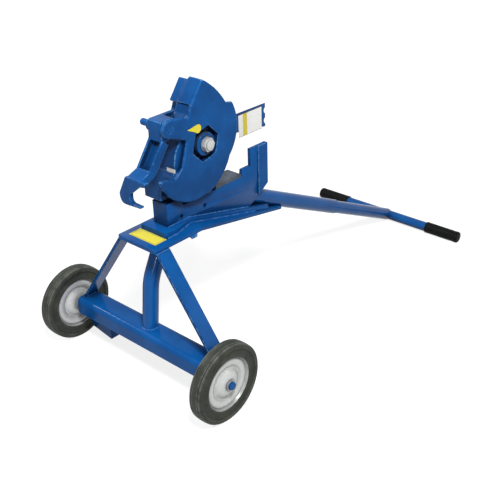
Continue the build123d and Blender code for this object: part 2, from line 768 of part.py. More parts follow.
# chart plate and its arm on the far side of the upright
chart_reach = 280.0
chart_left = shaft_x + chart_reach
chart_length = 114.0
chart_right = chart_left + chart_length
chart_height = 80.0
chart_drop = 19.0
chart_high = shaft_z - chart_drop
chart_low = chart_high - chart_height
chart_tail = 22.0
chart_notch = 11.0
arm_y = upright_far
chart_arm_thick = 4.0
chart_rim = 3.0
arm_points = [
    (shaft_x + chart_tail, shaft_z - 2 * chart_tail), (chart_right + chart_tail, chart_low),
    (chart_right + chart_tail, chart_high + chart_rim),
    (shaft_x + chart_tail, shaft_z - chart_notch)]
chart_arm = plate(arm_points, arm_y, arm_y + chart_arm_thick)
chart_arm -= disc(shaft_x, shaft_z, nut_flat / sqrt(3) + 2, arm_y - 1, arm_y + chart_arm_thick + 1)
for z in (chart_low + 2 * chart_notch, chart_high - 2 * chart_notch):
    chart_arm -= disc(chart_right + chart_tail + 4, z, chart_notch, arm_y - 1, arm_y + chart_arm_thick + 1)
save("chart_arm", chart_arm)
chart = plate(
    [(chart_left, chart_low), (chart_right, chart_low), (chart_right, chart_high), (chart_left, chart_high)],
    arm_y - chart_thick, arm_y)
save("chart_plate", chart)
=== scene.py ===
import json
from math import cos, pi, radians, sin, tau

import bmesh
import bpy
from mathutils import Matrix, Vector


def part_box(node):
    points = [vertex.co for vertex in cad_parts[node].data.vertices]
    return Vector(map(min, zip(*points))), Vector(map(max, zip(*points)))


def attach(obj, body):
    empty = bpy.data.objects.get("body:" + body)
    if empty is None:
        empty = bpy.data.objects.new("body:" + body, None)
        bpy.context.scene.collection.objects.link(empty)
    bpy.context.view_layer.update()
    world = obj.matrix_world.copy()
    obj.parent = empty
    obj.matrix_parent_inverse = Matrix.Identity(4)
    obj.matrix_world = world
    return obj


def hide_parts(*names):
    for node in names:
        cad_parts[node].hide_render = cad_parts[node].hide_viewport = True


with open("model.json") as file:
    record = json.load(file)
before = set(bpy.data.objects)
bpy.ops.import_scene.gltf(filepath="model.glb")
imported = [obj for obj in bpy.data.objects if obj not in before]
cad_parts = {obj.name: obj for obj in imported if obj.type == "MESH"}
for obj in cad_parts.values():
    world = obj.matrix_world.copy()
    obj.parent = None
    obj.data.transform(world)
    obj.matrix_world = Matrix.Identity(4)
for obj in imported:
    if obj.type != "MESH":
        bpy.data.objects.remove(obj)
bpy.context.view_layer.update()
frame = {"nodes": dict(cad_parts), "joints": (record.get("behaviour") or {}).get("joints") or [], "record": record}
nodes = frame["nodes"]
pivots = {joint["name"]: Vector(joint["pos_m"]) for joint in frame["joints"]}
shaft = pivots["shoe_turn"]
hook_pivot = pivots["hook_swing"]


# Shader maths


class Wire:
    """A shader socket that takes part in sums; each sum adds its Math nodes."""

    def __init__(self, finish, socket):
        self.finish = finish
        self.socket = socket

    def of(self, name):
        """Another output of the same node."""
        return Wire(self.finish, self.socket.node.outputs[name])

    def math(self, operation, *values):
        return self.finish.node("ShaderNodeMath", {"operation": operation}, dict(enumerate(values)))

    def __add__(self, other):
        return self.math("ADD", self, other)

    def __radd__(self, other):
        return self.math("ADD", other, self)

    def __sub__(self, other):
        return self.math("SUBTRACT", self, other)

    def __rsub__(self, other):
        return self.math("SUBTRACT", other, self)

    def __mul__(self, other):
        return self.math("MULTIPLY", self, other)

    def __rmul__(self, other):
        return self.math("MULTIPLY", other, self)

    def __truediv__(self, other):
        return self.math("DIVIDE", self, other)

    def __rtruediv__(self, other):
        return self.math("DIVIDE", other, self)

    def __abs__(self):
        return self.math("ABSOLUTE", self)

    def fraction(self):
        return self.math("FRACT", self)

    def clamped(self, low, high):
        return self.math("MINIMUM", self.math("MAXIMUM", self, low), high)

    def stretch(self, low, high, to_low=0.0, to_high=1.0):
        """Map low..high smoothly to to_low..to_high, held flat outside."""
        values = {"Value": self, "From Min": low, "From Max": high, "To Min": to_low, "To Max": to_high}
        return self.finish.node("ShaderNodeMapRange", {"interpolation_type": "SMOOTHSTEP"}, values)


class Finish:
    """The nodes of one material, or of the sky if that is given."""

    def __init__(self, name, sky=None):
        self.holder = bpy.data.materials.new(name) if sky is None else sky
        self.holder.use_nodes = True
        self.tree = self.holder.node_tree
        self.tree.nodes.clear()

    def node(self, kind, settings=None, values=None):
        """Any node: settings first, then values or wires by socket name or number."""
        made = self.tree.nodes.new(kind)
        for key, setting in (settings or {}).items():
            setattr(made, key, setting)
        for key, value in (values or {}).items():
            if isinstance(value, Wire):
                self.tree.links.new(value.socket, made.inputs[key])
            else:
                made.inputs[key].default_value = value
        shown = [out for out in made.outputs if out.enabled]
        return Wire(self, shown[0]) if shown else None

    def place(self):
        """Position in metres on the piece at rest."""
        return self.node("ShaderNodeTexCoord").of("Object")

    def scaled(self, vector, factors):
        return self.node("ShaderNodeVectorMath", {"operation": "MULTIPLY"}, {0: vector, 1: factors})

    def moved(self, vector, offset):
        return self.node("ShaderNodeVectorMath", {"operation": "SUBTRACT"}, {0: vector, 1: offset})

    def parts(self, vector):
        split = self.node("ShaderNodeSeparateXYZ", None, {"Vector": vector})
        return split.of("X"), split.of("Y"), split.of("Z")

    def noise(self, vector, scale, detail=3.0, roughness=0.55):
        values = {"Vector": vector, "Scale": scale, "Detail": detail, "Roughness": roughness}
        return self.node("ShaderNodeTexNoise", None, values)

    def cells(self, vector, scale):
        return self.node("ShaderNodeTexVoronoi", None, {"Vector": vector, "Scale": scale})

    def mix(self, amount, low, high):
        """Blend two colours by an amount from 0 to 1."""
        values = {0: amount, 6: low, 7: high}
        made = self.node("ShaderNodeMix", {"data_type": "RGBA"}, values)
        return made.of(2) if made.socket.type != "RGBA" else made

    def outer_edges(self, low, high):
        """0 on flat faces, 1 on outer edges."""
        sharp = self.node("ShaderNodeNewGeometry").of("Pointiness")
        return sharp.stretch(low, high)

    def hollow(self, reach):
        """0 on open faces, towards 1 in recesses within reach of a wall."""
        open_sky = self.node("ShaderNodeAmbientOcclusion", {"samples": 8}, {"Distance": reach})
        return 1.0 - open_sky.of("AO")

    def bump(self, height, distance, strength):
        values = {"Height": height, "Distance": distance, "Strength": strength}
        return self.node("ShaderNodeBump", None, values)

    def seen_plainly(self):
        """1 for the camera, mirrors and glass, 0 for the light that falls on the object."""
        path = self.node("ShaderNodeLightPath")
        rays = path.of("Is Camera Ray") + path.of("Is Glossy Ray") + path.of("Is Transmission Ray")
        return rays.clamped(0.0, 1.0)

    def finish(self, **sockets):
        names = {key.replace("_", " "): value for key, value in sockets.items()}
        shader = self.node("ShaderNodeBsdfPrincipled", None, names)
        self.node("ShaderNodeOutputMaterial", None, {"Surface": shader})
        return self.holder


def rgb(red, green, blue):
    return (red, green, blue, 1.0)


# Finishes


def blue_enamel(name, grain, wear_and_highlight, gloss, grime=0.0, edges=(0.515, 0.58), deep=1.0,
                recess_shade=(0.09, 0.25, 0.70), shine=0.06):
    """Royal blue enamel: uneven film, lighter edges that are partly rubbed paint and partly a painted highlight,
    fine scratches, old grease, and painted shade in recesses.

    grain is the height of its lumps, wear_and_highlight the lightening of edges between two sharpnesses,
    rubbed paint and a painted highlight at once, gloss its least roughness, grime the share of grease,
    deep the tone of its darker clouds, recess_shade the reach of a recess and the depths between which
    painted shade darkens it there, and shine its specular level.
    """
    paint = Finish(name)
    spot = paint.place()
    cloud = paint.noise(spot, 9.0, 4.0)
    speck = paint.noise(spot, 420.0, 2.0)
    dark_film = rgb(0.0026, 0.069 * deep, 0.258 * deep)
    light_film = rgb(0.0038, 0.091, 0.322)
    film = paint.mix(cloud.stretch(0.3, 0.7), dark_film, light_film)
    film = paint.mix(speck.stretch(0.55, 0.8) * 0.25, film, rgb(0.006, 0.118, 0.370))
    scuff = paint.noise(spot, 60.0, 6.0, 0.7)
    # lighter edges: partly rubbed paint, partly a painted highlight along the outer edges
    edge = paint.outer_edges(*edges) * scuff.stretch(0.40, 0.60)
    rubbed_and_highlit = (edge * wear_and_highlight).clamped(0.0, 1.0)
    film = paint.mix(rubbed_and_highlit, film, rgb(0.140, 0.340, 0.640))
    scratch = paint.noise(paint.scaled(spot, (30.0, 900.0, 260.0)), 1.0, 2.0)
    lines = scratch.stretch(0.70, 0.78) * scuff.stretch(0.5, 0.7)
    film = paint.mix(lines * 0.35, film, rgb(0.06, 0.20, 0.42))
    patch = paint.noise(spot, 34.0, 4.0, 0.6)
    # painted shade: faces within reach of a wall, in recesses and under overhangs, darken towards the paint's
    # shaded blue
    shade_reach, shade_low, shade_high = recess_shade
    painted_shade = paint.hollow(shade_reach).stretch(shade_low, shade_high) * (0.70 + patch * 0.3)
    film = paint.mix(painted_shade, film, rgb(0.0050, 0.018, 0.060))
    film = paint.mix(patch.stretch(0.30, 0.70) * grime, film, rgb(0.020, 0.028, 0.036))
    peel = paint.noise(spot, 260.0, 2.0)
    lumps = paint.noise(spot, 75.0, 3.0)
    height = peel * 0.25 + lumps * grain
    rough = gloss + cloud * 0.08 + speck * 0.04 + rubbed_and_highlit * 0.2
    return paint.finish(
        Base_Color=film,
        Roughness=rough,
        Specular_IOR_Level=shine,
        Coat_Weight=0.02 + cloud * 0.05,
        Coat_Roughness=0.08,
        Normal=paint.bump(height, 0.0004, 0.35),
    )


def tyre_rubber():
    """Dark rubber, dusty on the tread and greyed towards the sidewall, with painted shade in its dished sidewall.
    """
    rubber = Finish("tyre_rubber_fine")
    spot = rubber.place()
    dust = rubber.noise(spot, 26.0, 6.0, 0.65)
    fine = rubber.noise(spot, 700.0, 2.0)
    tone = rubber.mix(dust.stretch(0.35, 0.72), rgb(0.016, 0.019, 0.014), rgb(0.048, 0.054, 0.040))
    tone = rubber.mix(fine.stretch(0.5, 0.8) * 0.4, tone, rgb(0.100, 0.105, 0.088))
    # painted shade: darker in the dished sidewall and beside the bead
    painted_shade = rubber.hollow(0.02).stretch(0.04, 0.26) * 0.85
    tone = rubber.mix(painted_shade, tone, rgb(0.010, 0.011, 0.009))
    grazed = rubber.outer_edges(0.515, 0.55) * dust.stretch(0.30, 0.60)
    tone = rubber.mix(grazed * 0.7, tone, rgb(0.150, 0.155, 0.140))
    height = dust * 0.4 + fine * 0.35
    return rubber.finish(
        Base_Color=tone,
        Roughness=0.58 + dust * 0.22,
        Specular_IOR_Level=0.3,
        Normal=rubber.bump(height, 0.0006, 0.5),
    )


def zinc_plate(name, spangle):
    """Bright zinc with a faint crystal pattern, dull patches, and painted shade in its groove and beside its rim.
    """
    zinc = Finish(name)
    spot = zinc.place()
    crystal = zinc.cells(spot, spangle).of("Color")
    shade, _, _ = zinc.parts(crystal)
    dull = zinc.noise(spot, 24.0, 3.0, 0.5)
    tone = zinc.mix(shade, rgb(0.54, 0.55, 0.54), rgb(0.62, 0.63, 0.62))
    tone = zinc.mix(dull.stretch(0.52, 0.80) * 0.3, tone, rgb(0.42, 0.43, 0.42))
    # painted shade: darker in the disc's groove and beside the rim
    painted_shade = zinc.hollow(0.035).stretch(0.04, 0.30) * (0.55 + dull * 0.3)
    tone = zinc.mix(painted_shade, tone, rgb(0.14, 0.145, 0.14))
    return zinc.finish(
        Base_Color=tone,
        Metallic=0.30 - dull * 0.16,
        Roughness=0.26 + shade * 0.02 + dull * 0.08,
        Normal=zinc.bump(dull, 0.0003, 0.2),
    )


def turned_steel(name, bright, dark, metal):
    """Machined steel with fine turning lines and a film of oil."""
    steel = Finish(name)
    spot = steel.place()
    lines = steel.noise(steel.scaled(spot, (40.0, 2600.0, 40.0)), 1.0, 2.0)
    stain = steel.noise(spot, 30.0, 4.0)
    tone = steel.mix(stain.stretch(0.4, 0.7), bright, dark)
    return steel.finish(
        Base_Color=tone,
        Metallic=metal + lines * 0.1,
        Roughness=0.34 + stain * 0.2,
        Normal=steel.bump(lines, 0.0003, 0.4),
    )


def bearing_bronze():
    bronze = Finish("bearing_bronze")
    spot = bronze.place()
    oil = bronze.noise(spot, 60.0, 4.0)
    tone = bronze.mix(oil.stretch(0.4, 0.7), rgb(0.50, 0.31, 0.12), rgb(0.32, 0.18, 0.07))
    return bronze.finish(
        Base_Color=tone,
        Metallic=0.92 - oil * 0.08,
        Roughness=0.30 + oil * 0.2,
        Normal=bronze.bump(oil, 0.0003, 0.4),
    )


def grip_rubber():
    """Black dipped rubber with a fine satin skin."""
    skin = Finish("grip_rubber_fine")
    spot = skin.place()
    haze = skin.noise(spot, 34.0, 5.0)
    pore = skin.noise(spot, 900.0, 2.0)
    tone = skin.mix(haze.stretch(0.4, 0.7), rgb(0.003, 0.0032, 0.0034), rgb(0.007, 0.0075, 0.008))
    return skin.finish(
        Base_Color=tone,
        Roughness=0.40 + haze * 0.2,
        Specular_IOR_Level=0.07,
        Normal=skin.bump(pore, 0.0003, 0.5),
    )


def worn_film(film, spot, tone, age=1.0):
    """Fade and scuff a printed sheet."""
    fade = film.noise(spot, 45.0, 4.0)
    scuff = film.noise(spot, 300.0, 5.0, 0.7)
    tone = film.mix(fade.stretch(0.4, 0.75) * (0.22 * age), tone, rgb(0.52, 0.49, 0.36))
    tone = film.mix(scuff.stretch(0.66, 0.74) * (0.4 * age), tone, rgb(0.30, 0.28, 0.20))
    return film.finish(
        Base_Color=tone,
        Roughness=0.36 + fade * 0.2,
        Specular_IOR_Level=0.3,
        Normal=film.bump(scuff, 0.0002, 0.3),
    )


def yellow_label(name, node):
    """Bare yellow sheet with a thin dark border line."""
    film = Finish(name)
    spot = film.place()
    low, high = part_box(node)
    x, y, _ = film.parts(film.moved(spot, (low + high) / 2))
    inset = (high - low) / 2
    edge_x = inset.x - abs(x)
    edge_y = inset.y - abs(y)
    near_edge = edge_x.math("MINIMUM", edge_x, edge_y)
    line = near_edge.stretch(0.0026, 0.0030) * near_edge.stretch(0.0040, 0.0044, 1.0, 0.0)
    tone = film.mix(line * 0.8, rgb(0.74, 0.65, 0.045), rgb(0.03, 0.03, 0.03))
    return worn_film(film, spot, tone)


def plain_yellow(name):
    film = Finish(name)
    return worn_film(film, film.place(), rgb(0.78, 0.66, 0.035))


chart_rows = 11.0


def ruled_chart(name, node):
    """Bare white sheet with one yellow band, ruled lines and a dark rim."""
    film = Finish(name)
    spot = film.place()
    low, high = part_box(node)
    x, _, z = film.parts(film.moved(spot, low))
    width = high.x - low.x
    tall = high.z - low.z
    across = x / width
    up = z / tall
    band = across.stretch(0.17, 0.185) * across.stretch(0.35, 0.365, 1.0, 0.0)
    row = (up * chart_rows).fraction()
    rule = row.stretch(0.05, 0.09) * row.stretch(0.14, 0.18, 1.0, 0.0) * across.stretch(0.40, 0.42)
    rule = rule * across.stretch(0.92, 0.94, 1.0, 0.0)
    rim = up.stretch(0.955, 0.968) + up.stretch(0.010, 0.022, 1.0, 0.0)
    tone = film.mix(band, rgb(0.98, 0.98, 0.94), rgb(0.76, 0.62, 0.06))
    tone = film.mix(rule * 0.16, tone, rgb(0.10, 0.11, 0.14))
    tone = film.mix(rim.clamped(0.0, 1.0), tone, rgb(0.05, 0.06, 0.09))
    return worn_film(film, spot, tone, age=0.35)


# reach and depths of the painted shadow that the shoe's overhanging flange casts on the body below it
shoe_shadow = (0.16, 0.10, 0.40)
plate_paint = blue_enamel("plate_enamel", grain=0.08, wear_and_highlight=0.75, gloss=0.16)
sheet_paint = blue_enamel("sheet_enamel", grain=0.05, wear_and_highlight=0.0, gloss=0.13)
tube_paint = blue_enamel("tube_enamel", grain=0.04, wear_and_highlight=0.0, gloss=0.11, shine=0.13)
shaded_paint = blue_enamel("shaded_enamel", grain=0.05, wear_and_highlight=0.0, gloss=0.13, recess_shade=shoe_shadow)
# painted shade reaches further on the castings: in the shoe's core, under the horn and in the hook's pockets
cast_paint = blue_enamel(
    "casting_enamel", grain=0.50, wear_and_highlight=0.62, gloss=0.17,
    edges=(0.510, 0.538), deep=0.78, recess_shade=(0.11, 0.18, 0.58),
)
weld_paint = blue_enamel("weld_enamel", grain=0.40, wear_and_highlight=0.30, gloss=0.16)
# grease patches; on the nose marks this darker paint is also painted shade
grease_and_shade_paint = blue_enamel("grease_and_shade_enamel", grain=0.20, wear_and_highlight=0.20, gloss=0.24, grime=0.85)
# dust patches, with the shoe's painted shadow
dust_and_shadow_paint = blue_enamel(
    "dust_and_shadow_enamel", grain=0.10, wear_and_highlight=0.40, gloss=0.22, grime=0.50, recess_shade=shoe_shadow)
rubber_tyre = tyre_rubber()
zinc_disc = zinc_plate("zinc_disc", spangle=260.0)
zinc_bolt = zinc_plate("zinc_bolt", spangle=900.0)
steel_turned = turned_steel(
    "turned_steel", bright=rgb(0.34, 0.35, 0.36), dark=rgb(0.23, 0.235, 0.24), metal=0.85)
steel_seat = turned_steel(
    "seat_steel", bright=rgb(0.055, 0.075, 0.110), dark=rgb(0.030, 0.038, 0.052), metal=0.30)
bronze_bush = bearing_bronze()
rubber_grip = grip_rubber()
label_film = yellow_label("label_film", "plate_label")
marker_film = plain_yellow("marker_film")
chart_film = ruled_chart("chart_film", "chart_plate")


# Mesh helpers


def piece_from(bm, name, material, body, smooth=35.0):
    """Turn a bmesh into a piece that rides on a body."""
    bmesh.ops.recalc_face_normals(bm, faces=bm.faces)
    mesh = bpy.data.meshes.new(name)
    bm.to_mesh(mesh)
    bm.free()
    mesh.shade_smooth()
    mesh.set_sharp_from_angle(angle=radians(smooth))
    mesh.materials.append(material)
    made = bpy.data.objects.new(name, mesh)
    bpy.context.scene.collection.objects.link(made)
    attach(made, body)
    return made


def solid_of(node):
    """A node's solid as a bmesh with shared corners and flat faces."""
    bm = bmesh.new()
    bm.from_mesh(nodes[node].data)
    bmesh.ops.remove_doubles(bm, verts=bm.verts, dist=1e-5)
    bmesh.ops.dissolve_limit(bm, angle_limit=radians(0.6), verts=bm.verts, edges=bm.edges)
    return bm


sharp_corner = radians(40.0)
plain_corners = 9
broad_area = 4e-4


def eased(node, width, material):
    """Stand a copy of a node of the frame in its place, with its outer edges eased."""
    bm = solid_of(node)
    sharp = [edge for edge in bm.edges if edge.is_manifold and edge.calc_face_angle(0.0) > sharp_corner]
    bmesh.ops.bevel(
        bm, geom=sharp, offset=width, segments=2, profile=0.5, affect="EDGES", clamp_overlap=True)
    for _ in range(2):
        plain = [face for face in bm.faces if len(face.verts) < plain_corners]
        broad = [face for face in plain if face.calc_area() > broad_area]
        bmesh.ops.inset_individual(bm, faces=broad, thickness=1.2 * width, use_even_offset=True)
    made = piece_from(bm, node + "_eased", material, "frame")
    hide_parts(node)


shaft_room = 0.070
pivot_room = 0.016
behind_shaft = 0.005


def front_edges(bm):
    """Outer edges of the shoe's near face in front of the shaft, away from the bores."""
    near_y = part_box("bending_shoe")[0].y
    back_x = shaft.x + behind_shaft
    bores = ((shaft, shaft_room), (hook_pivot, pivot_room))
    found = []
    for edge in bm.edges:
        ends = [vert.co for vert in edge.verts]
        on_face = all(abs(end.y - near_y) < 2e-4 and end.x < back_x for end in ends)
        on_face = on_face and all((ends[0] - axis).xz.length > room for axis, room in bores)
        if on_face and edge.is_manifold and edge.calc_face_angle(0.0) > radians(60.0):
            found.append(edge)
    return found


jaw_height = 0.030


def jaw_corners(bm, near, far):
    """Sharp corners low on the hook's jaw that run along X, between two places along Y."""
    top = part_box("conduit_hook")[0].z + jaw_height
    found = []
    for edge in bm.edges:
        start, end = (vert.co for vert in edge.verts)
        along = (end - start).normalized()
        inside = start.z < top and near < start.y < far and abs(along.x) > 0.999
        if inside and edge.is_manifold and edge.calc_face_angle(0.0) > radians(25.0):
            found.append(edge)
    return found


def heel_corners(bm):
    return jaw_corners(bm, 0.030, 0.060)


def lip_corners(bm):
    return jaw_corners(bm, -0.040, -0.030)


def cast(node, voxel, rounds, body, rounded):
    """Stand a copy of a node in its place with the soft edges of a casting."""
    bm = solid_of(node)
    for choose, width in rounded:
        bmesh.ops.bevel(bm, geom=choose(bm), offset=width, segments=4, profile=0.5, affect="EDGES")
    made = piece_from(bm, node + "_cast", cast_paint, body)
    fill = made.modifiers.new("fill", "REMESH")
    fill.mode = "VOXEL"
    fill.voxel_size = voxel
    ease = made.modifiers.new("ease", "SMOOTH")
    ease.factor = 0.5
    ease.iterations = rounds
    bpy.context.view_layer.update()
    graph = bpy.context.evaluated_depsgraph_get()
    baked = bpy.data.meshes.new_from_object(made.evaluated_get(graph))
    made.modifiers.clear()
    made.data = baked
    baked.shade_smooth()
    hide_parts(node)


def turned_piece(profile, centre, name, material, body, steps=120, smooth=40.0):
    """Turn a closed outline of (radius, offset along Y) about a Y axis through centre."""
    bm = bmesh.new()
    rings = []
    for step in range(steps):
        angle = tau * step / steps
        rings.append([
            bm.verts.new(centre + Vector((radius * cos(angle), offset, radius * sin(angle))))
            for radius, offset in profile
        ])
    count = len(profile)
    for step in range(steps):
        here, there = rings[step], rings[(step + 1) % steps]
        for k in range(count):
            bm.faces.new((here[k], here[(k + 1) % count], there[(k + 1) % count], there[k]))
    return piece_from(bm, name, material, body, smooth)


def walk(points, step):
    """Points about one step apart along a polyline, with the direction at each."""
    found = []
    for start, end in zip(points, points[1:]):
        run = end - start
        count = max(1, round(run.length / step))
        for k in range(count):
            found.append((start + run * (k / count), run.normalized()))
    found.append((points[-1], (points[-1] - points[-2]).normalized()))
    return found


ripple_pitch = 0.0052
ripple_steps = 4
bead_sides = 8


def lay_bead(bm, points, radius):
    """One weld bead with stacked ripples along a polyline."""
    stations = walk(points, ripple_pitch / ripple_steps)
    rings = []
    for k, (spot, ahead) in enumerate(stations):
        side = ahead.orthogonal().normalized()
        other = ahead.cross(side)
        swell = 0.86 + 0.14 * abs(sin(pi * k / ripple_steps))
        drift = 0.10 * sin(k * 0.37) + 0.06 * sin(k * 1.13 + 1.0)
        fade = min(1.0, 0.45 + 0.2 * min(k, len(stations) - 1 - k))
        size = radius * fade * (swell + 0.5 * drift)
        centre = spot + (side * drift + other * drift) * radius * 0.5
        ring = []
        for n in range(bead_sides):
            angle = tau * n / bead_sides
            ring.append(bm.verts.new(centre + (side * cos(angle) + other * sin(angle)) * size))
        rings.append(ring)
    for here, there in zip(rings, rings[1:]):
        for n in range(bead_sides):
            after = (n + 1) % bead_sides
            bm.faces.new((here[n], here[after], there[after], there[n]))
    bm.faces.new(rings[0])
    bm.faces.new(list(reversed(rings[-1])))


def bevelled_bar(bm, centre, half, turn, width):
    """Add a bar with eased edges, given its half sizes and its turn."""
    made = bmesh.ops.create_cube(bm, size=2.0)["verts"]
    for vert in made:
        vert.co = centre + turn @ Vector([c * h for c, h in zip(vert.co, half)])
    edges = list({edge for vert in made for edge in vert.link_edges})
    bmesh.ops.bevel(bm, geom=edges, offset=width, segments=2, profile=0.5, affect="EDGES")


# Stage, light and camera


def white_ground():
    """Pale floor: white to the eye, and it keeps the shadow."""
    ground = Finish("white_ground")
    matt = ground.node("ShaderNodeBsdfDiffuse", None, {"Color": rgb(0.38, 0.38, 0.38)})
    away = ground.node("ShaderNodeVectorMath", {"operation": "LENGTH"}, {0: ground.place()}).of("Value")
    glow = ground.mix(away.stretch(1.0, 2.6), rgb(0.80, 0.80, 0.80), rgb(0.94, 0.94, 0.94))
    lift = ground.node("ShaderNodeEmission", None, {"Color": glow, "Strength": ground.seen_plainly()})
    both = ground.node("ShaderNodeAddShader", None, {0: matt, 1: lift})
    ground.node("ShaderNodeOutputMaterial", None, {"Surface": both})
    return ground.holder


def lay_floor():
    bm = bmesh.new()
    bmesh.ops.create_grid(bm, x_segments=1, y_segments=1, size=30.0)
    mesh = bpy.data.meshes.new("floor")
    bm.to_mesh(mesh)
    bm.free()
    mesh.materials.append(white_ground())
    floor = bpy.data.objects.new("floor", mesh)
    bpy.context.scene.collection.objects.link(floor)


def soft_lamp(name, place, aim, size, power):
    lamp = bpy.data.lights.new(name, "AREA")
    lamp.shape = "DISK"
    lamp.size = size
    lamp.energy = power
    holder = bpy.data.objects.new(name, lamp)
    holder.location = place
    holder.rotation_euler = (Vector(aim) - Vector(place)).to_track_quat("-Z", "Y").to_euler()
    bpy.context.scene.collection.objects.link(holder)


def light_sky(ambient):
    """An even sky that lights at a plain level and shows as white."""
    bpy.context.scene.world = bpy.data.worlds.new("studio")
    sky = Finish("studio", bpy.context.scene.world)
    strength = ambient + sky.seen_plainly() * (1.0 - ambient)
    glow = sky.node("ShaderNodeBackground", None, {"Color": rgb(1.0, 1.0, 1.0), "Strength": strength})
    sky.node("ShaderNodeOutputWorld", None, {"Surface": glow})


def set_camera():
    """Stand where the photographer stood, three quarters from the wheel end."""
    place = Vector((-1.9845, -1.6732, 1.6171))
    right = Vector((0.6606, -0.7504, -0.0231))
    forward = Vector((0.6479, 0.5854, -0.4873))
    upward = right.cross(forward)
    turn = Matrix((right, upward, -forward)).transposed()
    lens = bpy.data.cameras.new("camera")
    lens.sensor_width = 36.0
    lens.lens = 59.66
    camera = bpy.data.objects.new("camera", lens)
    camera.matrix_world = Matrix.Translation(place) @ turn.to_4x4()
    bpy.context.scene.collection.objects.link(camera)
    bpy.context.scene.camera = camera


# Dressing


def dress_nodes():
    """Give every CAD node its finish by material slot, then the ones that differ."""
    slot_finish = {
        "blue_paint": sheet_paint,
        "tyre_rubber": rubber_tyre,
        "grip_rubber": rubber_grip,
        "zinc_plate": zinc_disc,
        "bare_steel": steel_turned,
        "bronze": bronze_bush,
        "label_yellow": marker_film,
        "chart_white": chart_film,
    }
    for part in frame["record"]["subparts"]:
        shown = nodes[part["node"]]
        shown.data.materials.clear()
        shown.data.materials.append(slot_finish[part["material_slot"]])
    for name in ("centre_leg", "tail_sleeve", "tail_stem", "t_bar", "axle_caps"):
        nodes[name].data.materials[0] = tube_paint
    nodes["index_tab"].data.materials[0] = zinc_bolt
    nodes["plate_label"].data.materials[0] = label_film
    nodes["shaft_cap"].data.materials[0] = grease_and_shade_paint


def ease_plates():
    """Plates and bars with the eased edges of cut and painted steel."""
    painted = (
        (plate_paint, ("near_brace", "far_brace", "cheek_strip", "upright_spacer", "edge_lug")),
        (sheet_paint, ("top_plate", "body_base", "shaft_upright", "axle_feet", "chart_arm")),
        (shaded_paint, ("near_side_plate", "far_side_plate")),
        (dust_and_shadow_paint, ("front_block",)),
    )
    for paint, names in painted:
        for name in names:
            eased(name, 0.0012, paint)
    eased("conduit_seat", 0.0010, steel_seat)
    eased("shaft_bolt", 0.0008, zinc_bolt)
    eased("shaft_nut", 0.0010, zinc_bolt)


def eased_line(corners, passes):
    """Cut the inner corners of an open line of points, so that it runs round."""
    for _ in range(passes):
        cut = [corners[0]]
        for (radius, height), (next_radius, next_height) in zip(corners, corners[1:]):
            for share in (0.25, 0.75):
                cut.append((
                    radius + share * (next_radius - radius),
                    height + share * (next_height - height),
                ))
        corners = cut + [corners[-1]]
    return corners


tread_groove = 0.0030


def tyre_profile(outer, half, seat):
    """One side of the tyre from the crown to the bead, then the other side."""
    tread = [
        (outer, 0.0),
        (outer - 0.0004, 0.50 * half),
        (outer - tread_groove, 0.53 * half),
        (outer - tread_groove, 0.60 * half),
        (outer - 0.0008, 0.63 * half),
        (outer - 0.0014, 0.84 * half),
    ]
    shoulder = [
        (outer - 0.0085, 0.98 * half),
        (outer - 0.0115, 1.01 * half),
        (outer - 0.0155, half),
    ]
    dished_wall = [
        (outer - 0.0180, 0.79 * half),
        (outer - 0.0230, 0.77 * half),
        (seat + 0.0090, 0.80 * half),
    ]
    bead = [
        (seat + 0.0070, 0.87 * half),
        (seat + 0.0020, 0.87 * half),
        (seat, 0.80 * half),
    ]
    side = eased_line(tread + shoulder + dished_wall + bead, 1)
    return side + [(radius, -offset) for radius, offset in reversed(side[1:])]


def shape_tyres():
    for side in ("near", "far"):
        low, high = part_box(side + "_tyre")
        disc_low, disc_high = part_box(side + "_disc_outer")
        outer = (high.x - low.x) / 2
        seat = (disc_high.x - disc_low.x) / 2
        profile = tyre_profile(outer, (high.y - low.y) / 2, seat)
        name = side + "_tyre_tread"
        tyre = turned_piece(profile, (low + high) / 2, name, rubber_tyre, side + "_wheel")
        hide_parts(side + "_tyre")


# pressed wheel disc: radius and height above the wheel's middle plane, from the hub to the rim
disc_dome = [(0.0150, 0.0220), (0.0250, 0.0214), (0.0380, 0.0160)]
disc_groove = [(0.0480, 0.0074), (0.0535, 0.0074)]
disc_rim = [(0.0600, 0.0128), (0.0765, 0.0128), (0.0800, 0.0082), (0.0840, 0.0180)]
disc_sheet = 0.0020


def shape_discs():
    """Both discs of each wheel, with a pressed dome, a wide groove and a rolled rim."""
    face = eased_line(disc_dome + disc_groove + disc_rim, 2)
    seat, bead = face[-1]
    flange = seat - disc_sheet
    back = [(radius, height - disc_sheet) for radius, height in face if radius < flange]
    rim = [(seat, 0.0), (flange, 0.0), (flange, bead - 3 * disc_sheet)]
    profile = face + rim + back[::-1]
    for side, outward in (("near", -1.0), ("far", 1.0)):
        low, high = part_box(side + "_tyre")
        for face_name, way in (("_disc_outer", outward), ("_disc_inner", -outward)):
            node = side + face_name
            turned = [(radius, way * height) for radius, height in profile]
            name = node + "_pressed"
            disc = turned_piece(
                turned, (low + high) / 2, name, zinc_disc, side + "_wheel", smooth=50.0)
            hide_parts(node)


grip_rings = 18
ring_first = 0.0100
ring_pitch = 0.0060
ring_dip = 0.0012
ring_rise = 0.0003
end_hole = 0.0040
end_wall = 0.0030


